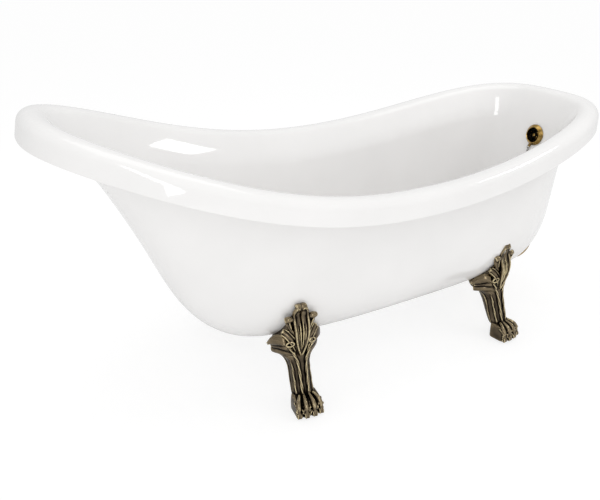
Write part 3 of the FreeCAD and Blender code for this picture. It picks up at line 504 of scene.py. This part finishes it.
        # scroll beside the leaf, rolled over at its top
        add([(side * 15, 37, 226), (side * 24, 39, 248), (side * 31, 39, 266),
             (side * 34.5, 39, 281)], (5, 8, 10, 10), (4, 5.5, 7, 8), cup=-1.5,
            side=(1, 0, -0.35 * side))
        add([(side * 25, 38, 281), (side * 34.5, 35, 284), (side * 44, 38, 281)],
            (7.5, 9, 7.5), side=(0, 0, 1))
        add([(side * 27, 32.5, 252), (side * 31, 31.5, 266), (side * 34.5, 29, 277)],
            (1.6, 2.6, 2), (1.6, 2.2, 2))
        # rim of the eye
        add([(side * (31.5 + 9.5 * math.cos(v)), 33 + 4 * math.cos(v),
              206 + 7 * math.sin(v) - 2.5 * math.cos(v))
             for v in [2 * math.pi * k / 14 for k in range(16)]], (2.4,) * 3,
            around=12, length=60)
        # edge of the middle leaf
        add([(side * x, y, z) for x, y, z in (
            (1.5, 33, 163), (8.5, 29.5, 186), (13.5, 26, 208), (17, 23.5, 231),
            (18.5, 24, 251), (19.5, 31, 272), (19.5, 38, 290), (17, 35, 304),
            (10.5, 29, 315), (3.5, 30, 310))], (2.4, 3, 3.1, 3.2, 3.4, 3.8, 4.2, 4.6, 4.2, 2.6),
            (3, 4, 4.4, 4.6, 5, 5.4, 5.6, 5.6, 5, 3), length=60)
        # flutes, and the broad lobes that they run into
        for near, far, size in ((1.2, 4.4, 1.7), (5.2, 12, 1.9)):
            add([(side * near, 33, 180), (side * (near + far) / 2, 28.5, 202),
                 (side * far * 0.86, 25.5, 228), (side * far, 27.5, 252),
                 (side * far, 35, 276)], (1, size, size * 1.15, size * 1.2, 1.2),
                (1.6, 2.6, 3, 3, 2))
        add([(side * 8, 33, 240), (side * 9.5, 33, 262), (side * 10.5, 39, 284),
             (side * 10, 37, 300), (side * 8.5, 33, 313)], (3, 7.6, 9.6, 8.6, 6),
            (2, 4, 5, 5, 4))
        # two-lobed tip that rolls back to the tub
        add([(side * 7, 35, 305), (side * 7, 31, 315), (side * 7, 33, 320.5),
             (side * 6.5, 41, 319), (side * 6, 53, 310)], (7, 8.6, 9, 8.6, 7),
            (4.4, 4.6, 4.6, 4.6, 5))
    foot = joined(parts, end + "NearFootCasting")
    applyModifier(foot, "REMESH", mode="VOXEL", voxel_size=feet["voxel"])
    applyModifier(foot, "SMOOTH", factor=0.5, iterations=1)
    # what stands deeper than the tub's skin, or under the sole, is brought back to it
    for vertex in foot.data.vertices:
        x, y, z = vertex.co / mm
        vertex.co.z = max(vertex.co.z, feet["sole"] * mm)
        if z > feet["skinAbove"] and y > feet["skinBehind"]:
            vertex.co.y = min(y, hullDepth(place, x, z) + feet["bite"]) * mm
    # score for wear, painted shade in the hollows and painted highlights on the ridges
    markWearAndShade(foot)
    foot.data.transform(place)
    foot.data.update()
    pick(foot)
    bpy.ops.object.shade_smooth()
    giveMaterial(foot, castBrass)
    return foot


def mirrorCopy(thing, name):
    pick(thing)
    bpy.ops.object.duplicate()
    twin = bpy.context.view_layer.objects.active
    twin.name = name
    twin.data.transform(Matrix.Scale(-1, 4, (0, 1, 0)))
    twin.data.flip_normals()
    return twin


for end in ("head", "foot_end"):
    nearFoot = makeFoot(end)
    farFoot = mirrorCopy(nearFoot, end + "FarFootCasting")
    for casting, which in ((nearFoot, "_near_foot"), (farFoot, "_far_foot")):
        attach(casting, "root")
        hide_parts(end + which)
    print(end, "feet done:", len(nearFoot.data.polygons), "faces each")


# ---- studio: pale floor, soft light, and the photograph's camera
studio = {"eye": (-0.929, -1.4427, 1.1598), "azimuth": -28.8545, "elevation": 26.2729,
          "lens": 36.72, "shift": (-0.0118, -0.00405), "floor": "#FFFFFF",
          "world": 0.75, "floorGlow": 0.76, "floorSize": 60, "floorDrop": 0.5 * mm,
          "floorRoughness": 0.9, "paper": 0.3, "farthest": 50}
bpy.ops.object.camera_add(location=studio["eye"])
camera = bpy.context.object
azimuth, elevation = math.radians(studio["azimuth"]), math.radians(studio["elevation"])
back = Vector((math.sin(azimuth) * math.cos(elevation), -math.cos(azimuth) * math.cos(elevation),
               math.sin(elevation)))
camera.rotation_euler = back.to_track_quat("Z", "Y").to_euler()
camera.data.lens, camera.data.sensor_width = studio["lens"], 36.0
camera.data.shift_x, camera.data.shift_y = studio["shift"]
camera.data.clip_end = studio["farthest"]
bpy.context.scene.camera = camera

softBoxes = (
    # name, place, aimed at, roll in degrees, width, height, power
    ("overhead", (0.0, 0.0, 3.2), (0, 0, 0.5), 0, 2.6, 1.8, 14),
    ("rightBox", (2.11, -1.18, 2.35), (-0.29, 0.37, 0.6), 0, 0.6, 0.36, 6),
    ("leftStrip", (-1.548, -2.749, 1.77), (0.652, 0.101, 0.97), 10.5, 0.4, 3.1, 19),
)
for name, place, target, roll, width, height, power in softBoxes:
    bpy.ops.object.light_add(type="AREA", location=place)
    lamp = bpy.context.object
    lamp.name = name
    aim = (Vector(place) - Vector(target)).to_track_quat("Z", "Y")
    lamp.rotation_euler = (aim @ Quaternion((0, 0, 1), math.radians(roll))).to_euler()
    lamp.visible_camera = False
    lamp.data.shape, lamp.data.size, lamp.data.size_y = "RECTANGLE", width, height
    lamp.data.energy = power

bpy.ops.mesh.primitive_plane_add(size=studio["floorSize"], location=(0, 0, -studio["floorDrop"]))
floor = bpy.context.object
floor.name = "floor"
# white sweep: to the camera it shows as lit paper that keeps a faint shadow
floorPaint, tree, shader, _ = newMaterial("matPaint", {"Roughness": studio["floorRoughness"]})
shader.inputs["Base Color"].default_value = linear(studio["floor"])
path = addNode(tree, "ShaderNodeLightPath")
paper = addNode(tree, "ShaderNodeBsdfDiffuse", {"Color": (studio["paper"],) * 3 + (1,)})
glow = addNode(tree, "ShaderNodeEmission", {"Strength": studio["floorGlow"]})
lit = addNode(tree, "ShaderNodeAddShader", {}, {0: paper.outputs[0], 1: glow.outputs[0]})
shown = addNode(tree, "ShaderNodeMixShader", {}, {
    0: path.outputs["Is Camera Ray"], 1: shader.outputs[0], 2: lit.outputs[0]})
tree.links.new(shown.outputs[0], tree.nodes["Material Output"].inputs["Surface"])
giveMaterial(floor, floorPaint)

world = bpy.data.worlds.new("studio")
bpy.context.scene.world = world
world.use_nodes = True
tree = world.node_tree
seen = addNode(tree, "ShaderNodeLightPath").outputs["Is Camera Ray"]
strength = addNode(tree, "ShaderNodeMapRange", {}, {"Value": seen})
strength.inputs["To Min"].default_value = studio["world"]
strength.inputs["To Max"].default_value = 1.0
tree.links.new(strength.outputs["Result"], tree.nodes["Background"].inputs["Strength"])
tree.nodes["Background"].inputs["Color"].default_value = (1, 1, 1, 1)

bpy.context.scene.view_settings.view_transform = "Standard"
